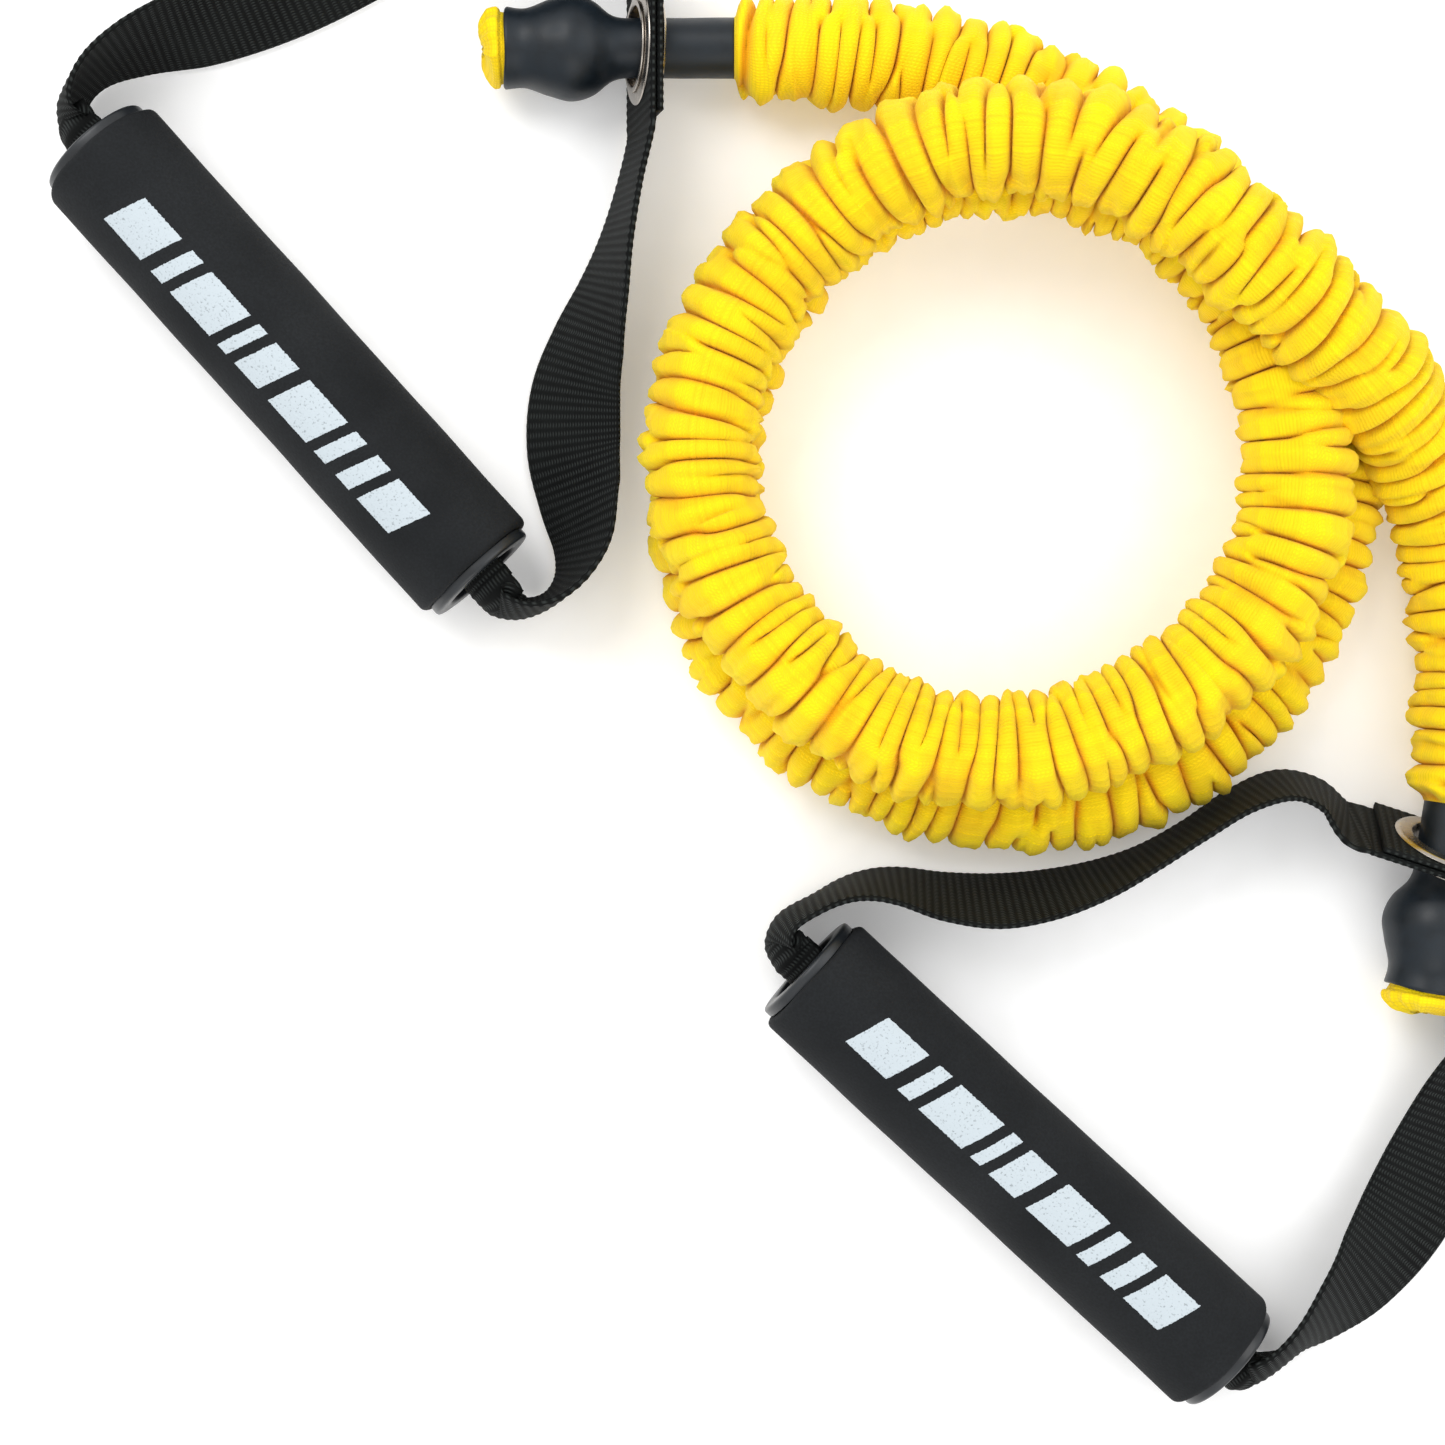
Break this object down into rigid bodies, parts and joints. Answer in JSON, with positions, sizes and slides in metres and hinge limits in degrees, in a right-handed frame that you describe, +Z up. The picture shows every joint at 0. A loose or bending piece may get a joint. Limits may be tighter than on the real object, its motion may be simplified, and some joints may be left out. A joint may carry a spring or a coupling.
{
  "type": "resistance band",
  "caption": "Tube resistance band in a ruched fabric sleeve, laid in a loose coil, with a webbing loop and a foam grip at each end.",
  "frame": {"origin": "middle of the two handle loops' outline, on the surface the band lies on", "axes": "+Z up from the surface, +Y away from the reader, +X to the reader's right"},
  "size_m": [0.3506, 0.3532, 0.0554],
  "materials": {
    "knit_fabric": "ruched elastic knit, matt",
    "webbing": "ribbed woven webbing",
    "foam": "fine-celled foam, matt",
    "cap_plastic": "moulded, satin to gloss",
    "rubber_sleeve": "smooth dipped rubber, soft gloss",
    "latex": "smooth",
    "ball_plastic": "moulded",
    "eyelet_metal": "nickel plated, polished and lightly worn"
  },
  "bodies": {
    "band": {"coil": "knit_fabric", "left_tail": "knit_fabric", "right_tail": "knit_fabric", "left_end_sleeve": "rubber_sleeve", "left_sleeve_end": "knit_fabric", "left_tube_end": "latex", "left_stop_ball": "ball_plastic", "right_end_sleeve": "rubber_sleeve", "right_sleeve_end": "knit_fabric", "right_tube_end": "latex", "right_stop_ball": "ball_plastic"},
    "left_loop": {"left_strap": "webbing", "left_eyelet": "eyelet_metal", "left_eyelet_washer": "eyelet_metal"},
    "left_grip": {"left_foam_grip": "foam", "left_grip_core": "cap_plastic", "left_front_cap": "cap_plastic", "left_back_cap": "cap_plastic"},
    "right_loop": {"right_strap": "webbing", "right_eyelet": "eyelet_metal", "right_eyelet_washer": "eyelet_metal"},
    "right_grip": {"right_foam_grip": "foam", "right_grip_core": "cap_plastic", "right_front_cap": "cap_plastic", "right_back_cap": "cap_plastic"}
  },
  "joints": [
    {"name": "left_loop_swivel", "type": "hinge", "parent": "band", "child": "left_loop", "pos_m": [-0.016, 0.139, 0.0136], "axis": [-1, 0, 0], "continuous": true},
    {"name": "left_grip_turn", "type": "hinge", "parent": "left_loop", "child": "left_grip", "pos_m": [-0.12, 0.0657, 0.016], "axis": [0.6704, -0.742, 0], "continuous": true},
    {"name": "right_loop_swivel", "type": "hinge", "parent": "band", "child": "right_loop", "pos_m": [0.152, -0.0375, 0.0136], "axis": [-0.159, -0.9873, 0], "continuous": true},
    {"name": "right_grip_turn", "type": "hinge", "parent": "right_loop", "child": "right_grip", "pos_m": [0.0495, -0.121, 0.016], "axis": [0.7337, -0.6794, 0], "continuous": true}
  ]
}
